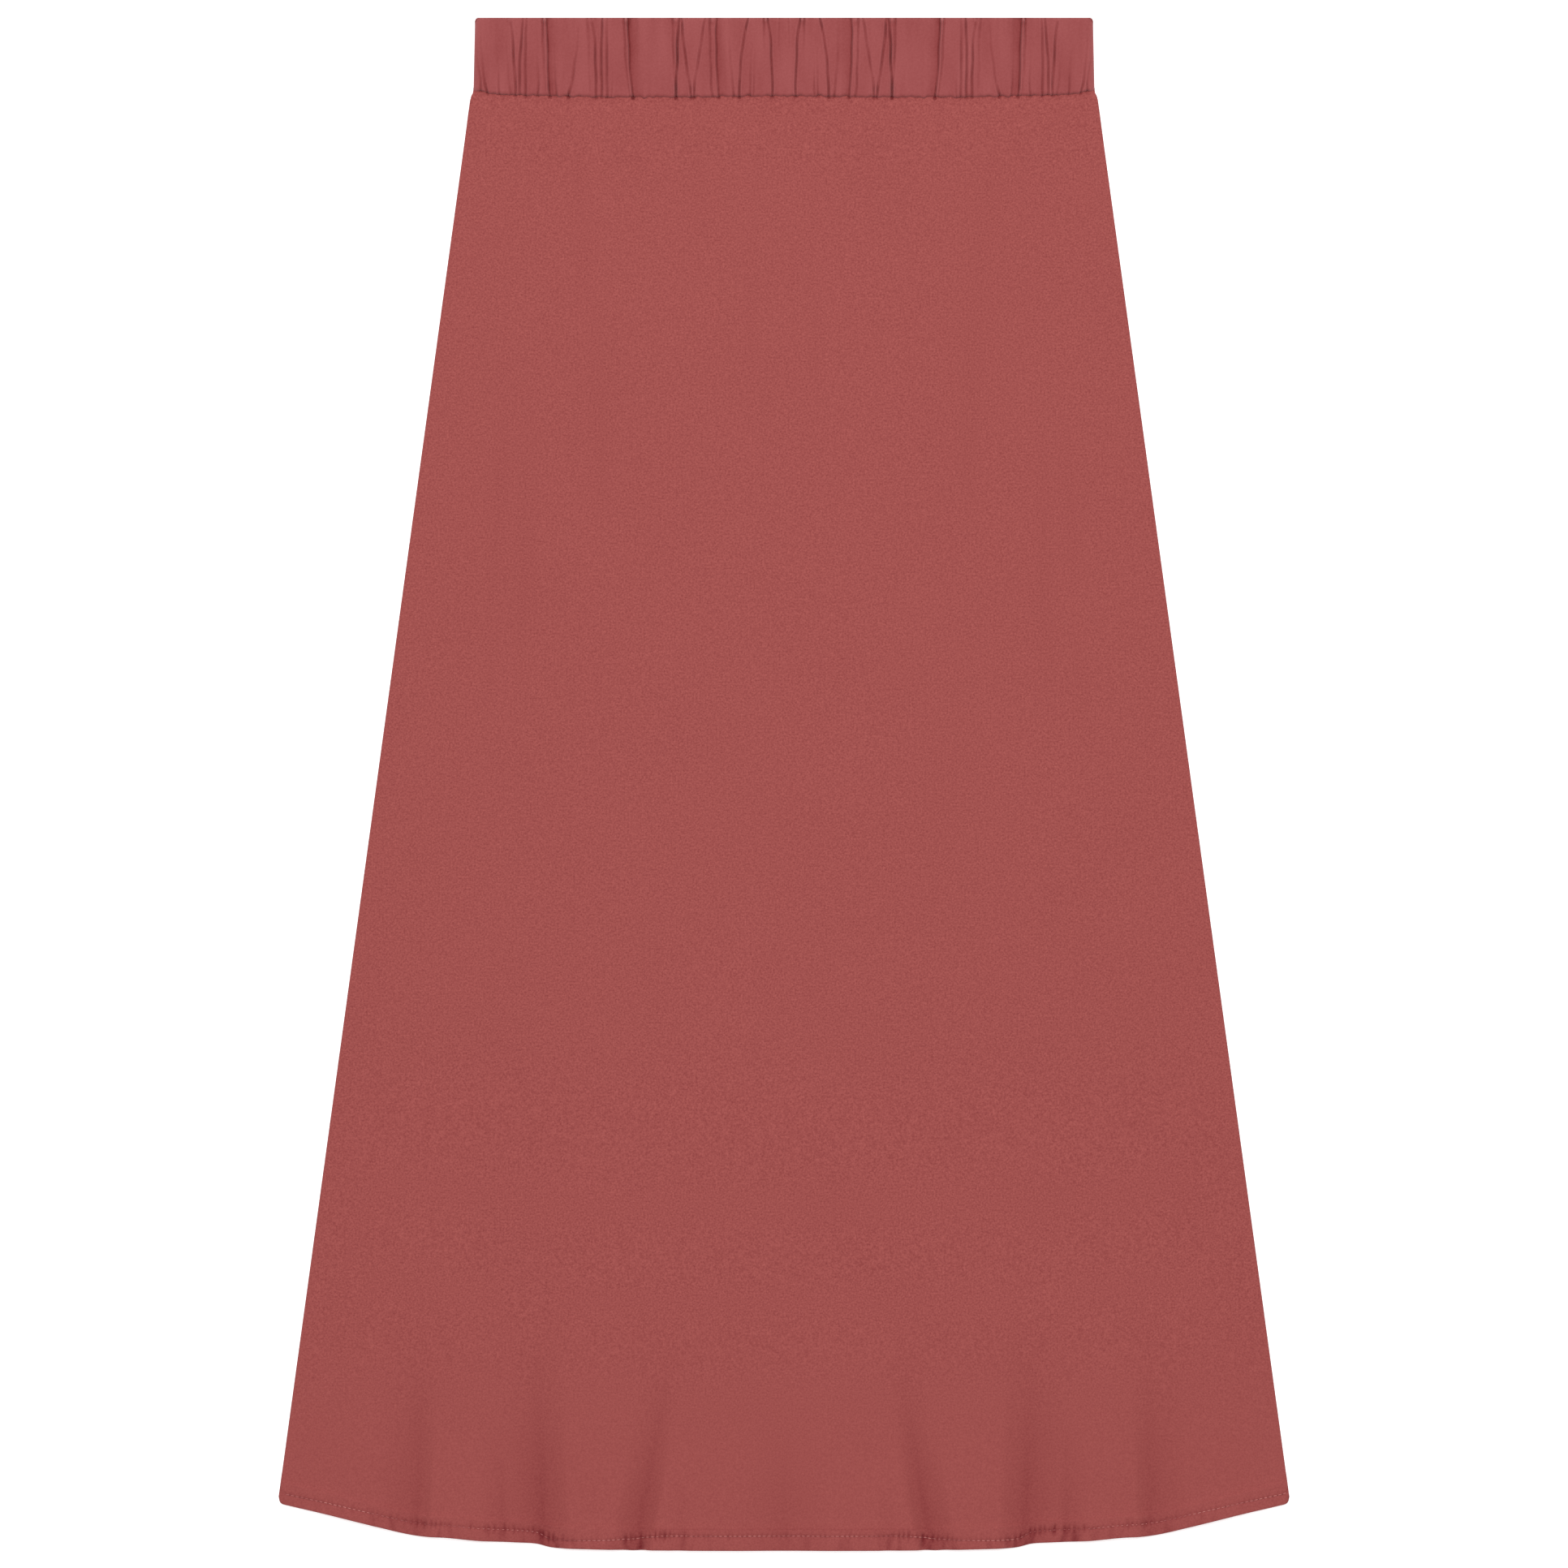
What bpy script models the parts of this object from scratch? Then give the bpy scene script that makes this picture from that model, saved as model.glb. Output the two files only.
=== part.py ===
"""
Flared midi skirt, laid flat with its front up.

Two flared panels of crepe lie on each other and meet along both sides. The front
panel lifts off the back one near the hem, where the flare falls into soft flutes.
A casing gathered by its elastic forms the waistband: its front half is creased by
the gathers, and its back half rests flat. X runs across the skirt, +Y towards the
waist and +Z up from the surface that it lies on. The origin is on that surface,
in the middle of the skirt.
"""

from math import ceil, cos, pi, sqrt

import bmesh
import bpy

MM = 0.001

# Outline, seen from the front
LENGTH = 849.6 * MM
HALF_WAIST_FOLD = 171.2 * MM
HALF_WAIST_SEAM = 171.9 * MM
HALF_BODY_TOP = 173.2 * MM
HALF_HEM = 279.9 * MM
HEM_CORNER_RISE = 30.6 * MM
BODY_TOP_DROP = 42.0 * MM
WAIST_CORNER = 2.2 * MM
BODY_CORNER_INSET = 1.1 * MM
BODY_CORNER_REACH = 6.0 * MM

# Cloth, from the surface upwards
GAP = 0.3 * MM
WALL = 1.2 * MM
HEM_WALL = 1.6 * MM
HEM_BAND = 11.5 * MM
HEM_BAND_STEP = 4.0 * MM
EDGE_REACH = 4.0 * MM
EDGE_DROP = 0.5 * MM
HEM_EDGE_REACH = 1.5 * MM

# Lift of the front panel off the back one
FLARE_LIFT = 3.2 * MM
FLARE_REACH = 280 * MM
FLARE_SIDE_REACH = 42 * MM
WAIST_RISE = 1.7 * MM
WAIST_RISE_REACH = 40 * MM

# Waistband casing
CASING_BACK = 2.6 * MM
CASING_CROWN = 7.2 * MM
CASING_LEAST = 1.6 * MM
FOLD_REACH = 3.0 * MM
FOLD_DROP = 2.6 * MM
SEAM_REACH = 4.0 * MM
SEAM_DROP = 1.8 * MM
CASING_SIDE_REACH = 4.0 * MM
CASING_SIDE_DROP = 2.0 * MM

# Share of the half width, and rise of the hem above its lowest point in mm
HEM_LINE = (
    (0.000, 0.0),
    (0.300, 0.2),
    (0.437, 1.3),
    (0.485, 4.0),
    (0.581, 5.4),
    (0.677, 7.6),
    (0.725, 9.0),
    (0.800, 13.1),
    (0.900, 20.0),
    (0.946, 22.9),
    (0.978, 24.8),
    (0.990, 26.3),
    (1.000, 30.6),
)

# Share of the half width, and drop of the waist seam below the fold in mm
WAIST_SEAM = (
    (0.00, 42.8),
    (0.40, 43.6),
    (0.55, 43.6),
    (0.70, 43.1),
    (0.90, 42.2),
    (1.00, 41.0),
)

# Valleys between the flutes of the hem, each on both halves. In mm: distance out
# from the centre at the hem and at the top of the valley, width of the slope on
# its inner and outer side, and height that it reaches above the hem. Depth is a
# share of the lift.
FLUTE_COLUMNS = ("out_hem", "out_top", "depth", "inner_run", "outer_run", "reach")
FLUTES = (
    (0, 0, 0.30, 26, 26, 85),
    (77, 61, 0.86, 9, 18, 135),
    (130, 142, 0.93, 10, 28, 235),
    (201, 197, 0.76, 9, 32, 155),
)

# Creases gathered into the waistband, each on both halves. In mm: distance out
# from the centre at the fold, halfway and at the seam, depth at the same three
# places, and width of the slope on the outer and inner side.
GATHER_COLUMNS = (
    "out_fold", "out_middle", "out_seam",
    "deep_fold", "deep_middle", "deep_seam",
    "outer_run", "inner_run",
)
GATHERS = (
    (168.4, 167.8, 164.5, 0.0, 0.5, 1.0, 1.4, 1.4),
    (160.0, 159.5, 157.5, 0.0, 0.2, 0.7, 1.4, 1.4),
    (154.6, 153.8, 151.4, 0.0, 0.2, 0.6, 1.2, 1.2),
    (152.1, 149.6, 149.0, 0.5, 1.4, 1.1, 1.2, 1.2),
    (145.0, 146.2, 146.0, 0.9, 1.3, 0.9, 1.1, 1.1),
    (143.0, 143.3, 143.1, 0.5, 1.0, 1.3, 1.4, 1.4),
    (137.6, 136.6, 136.4, 0.0, 0.2, 0.9, 1.1, 1.1),
    (134.8, 134.1, 133.5, 0.6, 0.5, 0.0, 1.2, 1.2),
    (131.6, 130.9, 129.6, 2.2, 2.2, 1.8, 1.3, 3.5),
    (127.2, 127.4, 126.0, 0.0, 0.2, 0.7, 1.2, 1.2),
    (113.5, 115.5, 119.5, 0.0, 0.7, 1.4, 1.4, 1.4),
    (109.2, 107.8, 107.4, 0.5, 0.5, 0.2, 1.5, 1.5),
    (106.4, 104.4, 104.2, 0.6, 1.3, 1.2, 1.2, 1.2),
    (100.4, 101.3, 100.9, 1.0, 1.3, 1.1, 1.0, 1.0),
    (98.1, 98.1, 98.1, 0.6, 1.0, 1.1, 1.2, 1.2),
    (89.6, 88.9, 87.5, 0.7, 0.6, 0.3, 1.3, 1.3),
    (86.3, 85.8, 83.7, 2.3, 2.3, 2.0, 1.3, 3.5),
    (63.4, 63.6, 65.7, 0.7, 0.7, 0.5, 1.6, 1.6),
    (58.0, 59.4, 59.9, 1.6, 2.4, 2.3, 1.1, 1.8),
    (55.8, 54.5, 52.0, 1.6, 1.8, 1.6, 1.8, 1.1),
    (43.3, 47.2, 49.6, 0.9, 1.2, 1.3, 1.3, 1.3),
    (41.0, 40.8, 39.5, 0.7, 0.8, 0.8, 1.2, 1.2),
    (37.4, 37.3, 36.0, 1.8, 1.7, 1.5, 1.1, 2.5),
    (30.0, 29.6, 28.2, 0.0, 0.4, 0.9, 1.3, 1.3),
    (21.0, 23.6, 24.8, 1.3, 1.5, 1.5, 1.0, 1.0),
    (17.0, 17.8, 18.2, 0.1, 0.2, 0.9, 1.2, 1.2),
    (11.4, 10.8, 10.2, 0.8, 0.1, 0.0, 1.0, 1.0),
    (8.9, 7.2, 6.8, 1.4, 1.5, 1.3, 1.0, 1.0),
    (2.5, 2.5, 2.5, 0.4, 0.1, 0.0, 0.9, 0.9),
)

# Spacing of the points that make the solids
PANEL_SPACING = 11 * MM
BACK_SPACING = 24 * MM
CASING_SPACING = 6 * MM
CREASE_SHOULDER = 1.6 * MM
CROWDED_CREASES = 2.3 * MM
HEM_ROWS = (0, 1.5, 6, 11.5, 15.5, 26, 38, 52, 70, 92, 120, 155, 200, 270)
BODY_ROWS = (380, 520, 660)
WAIST_ROWS = (60, 32, 14, 4, 0)
BACK_HEM_ROWS = (0, 6, 11.5, 15.5, 60, 150)
BACK_BODY_ROWS = (270, 400, 530, 660)
BACK_WAIST_ROWS = (60, 6, 0)
CASING_ROWS = (0.0, 0.035, 0.1, 0.36, 0.64, 0.9, 0.965, 1.0)
CASING_SIDE_ROWS = (0.0, 0.4, 1.2, 2.2)

# Colours in linear light, and the crepe's matt finish
BODY_COLOUR = (0.371, 0.091, 0.083)
BACK_COLOUR = (0.352, 0.085, 0.078)
WAISTBAND_COLOUR = (0.332, 0.080, 0.080)
CLOTH_ROUGHNESS = 0.85

WAIST_FOLD_Y = LENGTH / 2
HEM_Y = -LENGTH / 2
CASING_DEPTH = WAIST_SEAM[0][1] * MM
PANEL_HEIGHT = LENGTH - CASING_DEPTH
UNIT_GRID_HALF = 0.5


def smoothstep(value):
    """Rises from 0 to 1 with level ends."""
    value = min(max(value, 0.0), 1.0)
    return value * value * (3.0 - 2.0 * value)


def mix(start, end, share):
    return start + (end - start) * share


def through(table, place):
    """A smooth curve through a table's rows that never overshoots them."""
    places = [row[0] for row in table]
    values = [row[1] for row in table]
    steps = [end - start for start, end in zip(places, places[1:])]
    slopes = [(end - start) / step for start, end, step in zip(values, values[1:], steps)]
    tangents = [slopes[0]]
    for before, after in zip(slopes, slopes[1:]):
        rising = before * after > 0.0
        tangents.append(2.0 * before * after / (before + after) if rising else 0.0)
    tangents.append(slopes[-1])
    section = 0
    while section < len(steps) - 1 and place > places[section + 1]:
        section += 1
    step = steps[section]
    part = (place - places[section]) / step
    start_pull = tangents[section] * step * part * (1.0 - part) ** 2
    end_pull = tangents[section + 1] * step * part ** 2 * (1.0 - part)
    return mix(values[section], values[section + 1], smoothstep(part)) + start_pull - end_pull


def rolled(distance, reach, drop):
    """Drop of a rounded edge, at a distance in from that edge."""
    if distance >= reach:
        return 0.0
    inward = max(distance, 0.0) / reach
    return drop * (1.0 - sqrt(1.0 - (1.0 - inward) ** 2))


def body_half_width(y):
    """Half the width of the panels, whose side seams are straight."""
    body_top = WAIST_FOLD_Y - BODY_TOP_DROP
    hem_corner = HEM_Y + HEM_CORNER_RISE
    along = (y - hem_corner) / (body_top - hem_corner)
    corner = rolled(body_top - y, BODY_CORNER_REACH, BODY_CORNER_INSET)
    return mix(HALF_HEM, HALF_BODY_TOP, along) - corner


def hem_edge(share):
    return HEM_Y + through(HEM_LINE, share) * MM


def waist_seam(share):
    return WAIST_FOLD_Y - through(WAIST_SEAM, share) * MM


def panel_point(share, up):
    """Place of a panel's point, from its share of the half width and its height."""
    bottom = hem_edge(abs(share))
    top = waist_seam(abs(share)) - GAP
    y = mix(bottom, top, up / PANEL_HEIGHT)
    return share * body_half_width(y), y


def flute_rows():
    return [dict(zip(FLUTE_COLUMNS, row)) for row in FLUTES]


def valley_share(flute, up):
    """Where a valley lies across the panel, as a share of the half width."""
    rise = min(up / (flute["reach"] * MM), 1.0)
    top_half_width = body_half_width(HEM_Y + flute["reach"] * MM)
    hem_half_width = body_half_width(HEM_Y)
    return mix(flute["out_hem"] * MM / hem_half_width, flute["out_top"] * MM / top_half_width, rise)


def key_shares(up):
    """Centre, valleys with their two ridges, and side corner, outwards."""
    half_width = body_half_width(HEM_Y)
    shares = []
    for flute in flute_rows():
        middle = valley_share(flute, up)
        if middle > 0.0:
            shares.append(middle - flute["inner_run"] * MM / half_width)
        shares.append(middle)
        shares.append(middle + flute["outer_run"] * MM / half_width)
    return shares + [share for share, rise in HEM_LINE[-3:]]


def panel_shares(up, spacing):
    """Shares of a whole row of points, with even steps between the key ones."""
    half_width = body_half_width(HEM_Y)
    keys = key_shares(up)
    hem_keys = key_shares(0.0)
    shares = [keys[0]]
    for place in range(len(keys) - 1):
        steps = ceil((hem_keys[place + 1] - hem_keys[place]) * half_width / spacing)
        for step in range(1, steps + 1):
            shares.append(mix(keys[place], keys[place + 1], step / steps))
    return [-share for share in reversed(shares[1:])] + shares


def hem_wall(up):
    """Wall of a panel, thicker where the hem is turned up inside."""
    above_band = smoothstep((up - HEM_BAND) / HEM_BAND_STEP)
    return mix(HEM_WALL, WALL, above_band)


def flare_lift(share, y, up):
    """Height that the flutes lift the front panel off the back one."""
    half_width = body_half_width(y)
    out = abs(share) * half_width
    lift = FLARE_LIFT * (1.0 - smoothstep(up / FLARE_REACH))
    lift *= smoothstep((half_width - out) / FLARE_SIDE_REACH)
    for flute in flute_rows():
        away = out - valley_share(flute, up) * half_width
        run = flute["outer_run"] if away > 0.0 else flute["inner_run"]
        near = min(abs(away) / (run * MM), 1.0)
        fade = 1.0 - smoothstep(up / (flute["reach"] * MM))
        lift *= 1.0 - flute["depth"] * fade * (1.0 + cos(pi * near)) / 2.0
    return lift


def front_heights(share, y, up):
    """Under and outer height of the front panel."""
    half_width = body_half_width(y)
    under = hem_wall(up) + GAP + flare_lift(share, y, up)
    waist_rise = WAIST_RISE * smoothstep(1.0 - (PANEL_HEIGHT - up) / WAIST_RISE_REACH)
    side_roll = rolled((1.0 - abs(share)) * half_width, EDGE_REACH, EDGE_DROP)
    hem_roll = rolled(up, HEM_EDGE_REACH, EDGE_DROP)
    outer = under + hem_wall(up) + waist_rise - max(side_roll, hem_roll)
    return under, outer


def back_heights(share, y, up):
    """The back panel lies flat, and its hem is turned up on its inner side."""
    return 0.0, hem_wall(up)


def gather_rows():
    return [dict(zip(GATHER_COLUMNS, row)) for row in GATHERS]


def at_height(row, name, height):
    """A gather's value at a height from 0 at the seam to 1 at the fold."""
    seam, middle, fold = row[name + "_seam"], row[name + "_middle"], row[name + "_fold"]
    if height < 0.5:
        return mix(seam, middle, height / 0.5) * MM
    return mix(middle, fold, (height - 0.5) / 0.5) * MM


def casing_half_width(height):
    return mix(HALF_WAIST_SEAM, HALF_WAIST_FOLD, height)


def casing_keys(height):
    """Side edge, creases and centre of the waistband, inwards, at a height."""
    half_width = casing_half_width(height)
    sides = [half_width - step * MM for step in CASING_SIDE_ROWS]
    creases = [at_height(row, "out", height) for row in gather_rows()]
    return sides + creases + [0.0]


def casing_row(height):
    """Places across the waistband: creases, their shoulders and the crowns between."""
    keys = casing_keys(height)
    middle_keys = casing_keys(0.5)
    places = [keys[0]]
    for place in range(len(keys) - 1):
        start, end = keys[place], keys[place + 1]
        gap = middle_keys[place] - middle_keys[place + 1]
        shares = [1.0]
        if gap > 2.0 * CREASE_SHOULDER + CROWDED_CREASES:
            shoulder = CREASE_SHOULDER / gap
            steps = ceil((gap - 2.0 * CREASE_SHOULDER) / CASING_SPACING)
            crowns = [mix(shoulder, 1.0 - shoulder, step / steps) for step in range(steps + 1)]
            shares = crowns + [1.0]
        elif gap > CROWDED_CREASES:
            shares = [0.5, 1.0]
        places += [mix(start, end, share) for share in shares]
    return places + [-place for place in reversed(places[:-1])]


def plain_casing_row(height):
    """Places across the back half of the waistband, which is not creased."""
    half_width = casing_half_width(height)
    keys = [half_width - step * MM for step in CASING_SIDE_ROWS]
    steps = ceil(keys[-1] / BACK_SPACING)
    keys += [mix(keys[-1], 0.0, step / steps) for step in range(1, steps + 1)]
    return keys + [-key for key in reversed(keys[:-1])]


def casing_point(x, height):
    """Place of a waistband point, with the two top corners rounded."""
    half_width = casing_half_width(height)
    bottom = waist_seam(min(abs(x) / half_width, 1.0))
    top = WAIST_FOLD_Y - rolled(half_width - abs(x), WAIST_CORNER, WAIST_CORNER)
    return x, mix(bottom, top, height)


def crease_depth(x, height):
    """How far the gathers sink the front of the waistband at a point."""
    depth = 0.0
    for row in gather_rows():
        away = abs(x) - at_height(row, "out", height)
        run = row["outer_run"] if away > 0.0 else row["inner_run"]
        near = min(abs(away) / (run * MM), 1.0)
        depth += at_height(row, "deep", height) * (1.0 + cos(pi * near)) / 2.0
    return depth


def casing_front_heights(x, y, height):
    """Under and outer height of the front half, rounded at fold, seam and sides."""
    under = CASING_BACK + GAP
    fold_roll = rolled((1.0 - height) * CASING_DEPTH, FOLD_REACH, FOLD_DROP)
    seam_roll = rolled(height * CASING_DEPTH, SEAM_REACH, SEAM_DROP)
    side_roll = rolled(casing_half_width(height) - abs(x), CASING_SIDE_REACH, CASING_SIDE_DROP)
    outer = CASING_CROWN - max(fold_roll, seam_roll, side_roll) - crease_depth(x, height)
    return under, max(outer, under + CASING_LEAST)


def casing_back_heights(x, y, height):
    return 0.0, CASING_BACK


def cloth_slab(name, rows, heights, material):
    """
    A closed slab of cloth. Each row of points is a list of places (x, y) with the
    arguments of the heights function. A unit grid is extruded, and its points go
    to their places, the extruded ones at the outer height.
    """
    shape = bmesh.new()
    across_steps = len(rows[0]) - 1
    along_steps = len(rows) - 1
    bmesh.ops.create_grid(shape, x_segments=across_steps, y_segments=along_steps, size=UNIT_GRID_HALF)
    extruded = bmesh.ops.extrude_face_region(shape, geom=shape.faces[:])
    outer_points = {item for item in extruded["geom"] if isinstance(item, bmesh.types.BMVert)}
    for point in shape.verts:
        column = round((point.co.x + UNIT_GRID_HALF) * across_steps)
        row = round((point.co.y + UNIT_GRID_HALF) * along_steps)
        x, y, across, along = rows[row][column]
        under, outer = heights(across, y, along)
        point.co = (x, y, outer if point in outer_points else under)
    bmesh.ops.recalc_face_normals(shape, faces=shape.faces)
    mesh = bpy.data.meshes.new(name)
    shape.to_mesh(mesh)
    shape.free()
    mesh.shade_smooth()
    mesh.materials.append(material)
    slab = bpy.data.objects.new(name, mesh)
    skirt_collection.objects.link(slab)
    return slab


def cloth_material(name, colour):
    material = bpy.data.materials.new(name)
    material.use_nodes = True
    shader = material.node_tree.nodes["Principled BSDF"]
    shader.inputs["Base Color"].default_value = (*colour, 1.0)
    shader.inputs["Roughness"].default_value = CLOTH_ROUGHNESS
    shader.inputs["Metallic"].default_value = 0.0
    return material


def panel_rows(hem_rows, body_rows, waist_rows, spacing):
    """Rows of a panel's points from the hem to the waist seam."""
    ups = [row * MM for row in hem_rows + body_rows]
    ups += [PANEL_HEIGHT - row * MM for row in waist_rows]
    rows = []
    for up in ups:
        shares = panel_shares(up, spacing)
        rows.append([(*panel_point(share, up), share, up) for share in shares])
    return rows


def casing_rows(row_places):
    """Rows of a waistband half's points from the seam to the fold, left to right."""
    rows = []
    for height in CASING_ROWS:
        places = [-x for x in row_places(height)]
        rows.append([(*casing_point(x, height), x, height) for x in places])
    return rows


def make_front_panel():
    rows = panel_rows(HEM_ROWS, BODY_ROWS, WAIST_ROWS, PANEL_SPACING)
    material = cloth_material("front_panel_crepe", BODY_COLOUR)
    return cloth_slab("front_panel", rows, front_heights, material)


def make_back_panel():
    rows = panel_rows(BACK_HEM_ROWS, BACK_BODY_ROWS, BACK_WAIST_ROWS, BACK_SPACING)
    material = cloth_material("back_panel_crepe", BACK_COLOUR)
    return cloth_slab("back_panel", rows, back_heights, material)


def make_waistband_front():
    material = cloth_material("waistband_front_crepe", WAISTBAND_COLOUR)
    return cloth_slab("waistband_front", casing_rows(casing_row), casing_front_heights, material)


def make_waistband_back():
    material = cloth_material("waistband_back_crepe", WAISTBAND_COLOUR)
    return cloth_slab("waistband_back", casing_rows(plain_casing_row), casing_back_heights, material)


for leftover in list(bpy.data.objects):
    bpy.data.objects.remove(leftover, do_unlink=True)

skirt_collection = bpy.data.collections.new("flared_midi_skirt")
bpy.context.scene.collection.children.link(skirt_collection)

make_back_panel()
make_front_panel()
make_waistband_back()
make_waistband_front()
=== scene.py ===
# %% [markdown]
# A flared midi skirt of crepe, laid flat with its front up. The imported solids give
# its size and place; this script gives it its cloth. The first step loads them, and
# the cloth is then placed from their box, close to it.

# %% Load the frame
from math import ceil, cos, pi, sqrt

import bmesh
import bpy
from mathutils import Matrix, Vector, noise


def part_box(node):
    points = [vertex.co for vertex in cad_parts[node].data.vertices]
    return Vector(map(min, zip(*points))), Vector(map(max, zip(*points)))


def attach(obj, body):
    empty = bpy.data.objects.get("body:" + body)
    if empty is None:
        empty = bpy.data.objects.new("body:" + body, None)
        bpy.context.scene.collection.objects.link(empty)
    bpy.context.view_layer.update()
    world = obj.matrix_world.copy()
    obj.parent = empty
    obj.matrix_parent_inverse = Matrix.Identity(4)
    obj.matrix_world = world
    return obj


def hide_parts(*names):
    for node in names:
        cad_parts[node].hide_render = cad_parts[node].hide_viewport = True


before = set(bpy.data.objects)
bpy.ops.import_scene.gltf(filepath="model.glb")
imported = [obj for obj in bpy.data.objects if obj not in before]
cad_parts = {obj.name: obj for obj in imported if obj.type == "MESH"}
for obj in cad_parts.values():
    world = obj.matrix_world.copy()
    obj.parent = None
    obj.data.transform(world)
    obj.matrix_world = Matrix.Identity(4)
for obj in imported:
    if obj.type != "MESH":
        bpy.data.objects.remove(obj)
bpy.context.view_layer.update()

MM = 0.001

# %% [markdown]
# The camera looks straight down on the skirt, as in the photograph. It could be
# orthographic, but a long lens from over three metres keeps the slight perspective
# that a real camera over a table has, and it can still be moved round the object.

# %% Camera above the skirt
FRAME_WIDTH = 869.4 * MM
FRAME_LEVEL = 4.5 * MM
LENS_MM = 135.0
SENSOR_MM = 36.0


def add_object(name, data):
    """Puts a camera, a lamp or a mesh into the scene, at the origin and unturned."""
    item = bpy.data.objects.new(name, data)
    bpy.context.scene.collection.objects.link(item)
    return item


camera_data = bpy.data.cameras.new("overhead_camera")
camera_data.lens = LENS_MM
camera_data.sensor_width = SENSOR_MM
camera = add_object("overhead_camera", camera_data)
camera.location.z = FRAME_LEVEL + FRAME_WIDTH * LENS_MM / SENSOR_MM
bpy.context.scene.camera = camera
print("camera height in m:", round(camera.location.z, 3))

# %% [markdown]
# Every material below is a few nodes. One helper adds a node with its settings and
# links, so that each material reads as a short list, and one turns a hex colour, as
# a picture editor shows it, into the linear numbers that a shader works with. What
# is the same all over needs no node: it goes on the shader's own socket.

# %% Node and colour helpers
def add_node(tree, kind, inputs=None, **settings):
    """Adds a node. An input takes a plain value, or another node's output to link."""
    node = tree.nodes.new(kind)
    for name, value in settings.items():
        setattr(node, name, value)
    for name, value in (inputs or {}).items():
        if isinstance(value, bpy.types.NodeSocket):
            tree.links.new(value, node.inputs[name])
        else:
            node.inputs[name].default_value = value
    return node


def linear(hex_colour):
    """A hex sRGB colour as linear red, green, blue and alpha."""
    channels = [int(hex_colour[place:place + 2], 16) / 255 for place in (1, 3, 5)]
    return [((c + 0.055) / 1.055) ** 2.4 if c > 0.04045 else c / 12.92 for c in channels] + [1.0]


def shader_input(material, socket):
    """One socket of a material's Principled shader."""
    return material.node_tree.nodes["Principled BSDF"].inputs[socket]


def new_material(name, values):
    """A material with these values on its Principled shader's own sockets."""
    material = bpy.data.materials.new(name)
    material.use_nodes = True
    for socket, value in values.items():
        shader_input(material, socket).default_value = value
    return material


print("middle grey as a linear number:", round(linear("#808080")[0], 3))

# %% [markdown]
# The skirt lies on a light table, as photographers use for a clean white ground: the
# glow takes the shadow away from its edge. A wide lamp overhead, a little towards
# the waist, leaves the hem slightly darker, and an even white sky fills the folds.
# Plain card would do too, but it would keep a grey rim round the cloth. The table's
# top lies a little under the cloth, so the two never touch.

# %% Floor, sky and lamp
FLOOR_SIDE = 20.0
FLOOR_DROP = 0.3 * MM
TABLE_GLOW = 0.55
SKY_STRENGTH = 0.50
LAMP_SIDE = 1.0
LAMP_PLACE = Vector((0.0, 0.65, 2.6))
LAMP_POWER = 44.0
WHITE = linear("#FFFFFF")

opal = new_material("opal_acrylic", {
    "Base Color": linear("#FBFBFB"),
    "Roughness": 0.6,
    "Emission Color": WHITE,
    "Emission Strength": TABLE_GLOW})

floor_shape = bmesh.new()
bmesh.ops.create_grid(floor_shape, x_segments=1, y_segments=1, size=FLOOR_SIDE / 2)
bmesh.ops.translate(floor_shape, verts=floor_shape.verts, vec=(0.0, 0.0, -FLOOR_DROP))
floor_mesh = bpy.data.meshes.new("light_table")
floor_shape.to_mesh(floor_mesh)
floor_shape.free()
floor_mesh.materials.append(opal)
floor = add_object("light_table", floor_mesh)

sky = bpy.data.worlds.new("white_room")
sky.use_nodes = True
sky_light = sky.node_tree.nodes["Background"].inputs
sky_light["Color"].default_value = WHITE
sky_light["Strength"].default_value = SKY_STRENGTH
bpy.context.scene.world = sky

lamp_data = bpy.data.lights.new("overhead_softbox", "AREA")
lamp_data.shape = "SQUARE"
lamp_data.size = LAMP_SIDE
lamp_data.energy = LAMP_POWER
lamp = add_object("overhead_softbox", lamp_data)
lamp.location = LAMP_PLACE
lamp.rotation_euler = LAMP_PLACE.to_track_quat("Z", "Y").to_euler()
bpy.context.scene.view_settings.view_transform = "Standard"
print("lamp at", [round(side, 2) for side in lamp.location])

# %% [markdown]
# Cloth has soft edges and soft folds, so everything below is drawn with three small
# curves: an ease, a rounded edge, and a smooth line through a short table. Straight
# runs between the table's rows would show as kinks along the hem.

# %% Small curves
def mix(start, end, share):
    """The value that lies this share of the way from start to end."""
    return start + (end - start) * share


def ease(value):
    """Rises from 0 to 1 with level ends."""
    value = min(max(value, 0.0), 1.0)
    return value * value * (3.0 - 2.0 * value)


def rounded(distance, reach, drop):
    """Drop of a rounded edge, at a distance in from that edge."""
    if distance >= reach:
        return 0.0
    inward = max(distance, 0.0) / reach
    return drop * (1.0 - sqrt(1.0 - (1.0 - inward) ** 2))


def smooth_line(table):
    """A function: the smooth curve through a table's rows, which never overshoots them."""
    places = [row[0] for row in table]
    values = [row[1] for row in table]
    steps = [end - start for start, end in zip(places, places[1:])]
    slopes = [(end - start) / step for start, end, step in zip(values, values[1:], steps)]
    tangents = [slopes[0]]
    for before, after in zip(slopes, slopes[1:]):
        rising = before * after > 0.0
        tangents.append(2.0 * before * after / (before + after) if rising else 0.0)
    tangents.append(slopes[-1])

    def value_at(place):
        section = 0
        while section < len(steps) - 1 and place > places[section + 1]:
            section += 1
        step = steps[section]
        part = (place - places[section]) / step
        start_pull = tangents[section] * step * part * (1.0 - part) ** 2
        end_pull = tangents[section + 1] * step * part ** 2 * (1.0 - part)
        return mix(values[section], values[section + 1], ease(part)) + start_pull - end_pull

    return value_at


print("halfway up an ease:", ease(0.5))

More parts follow.
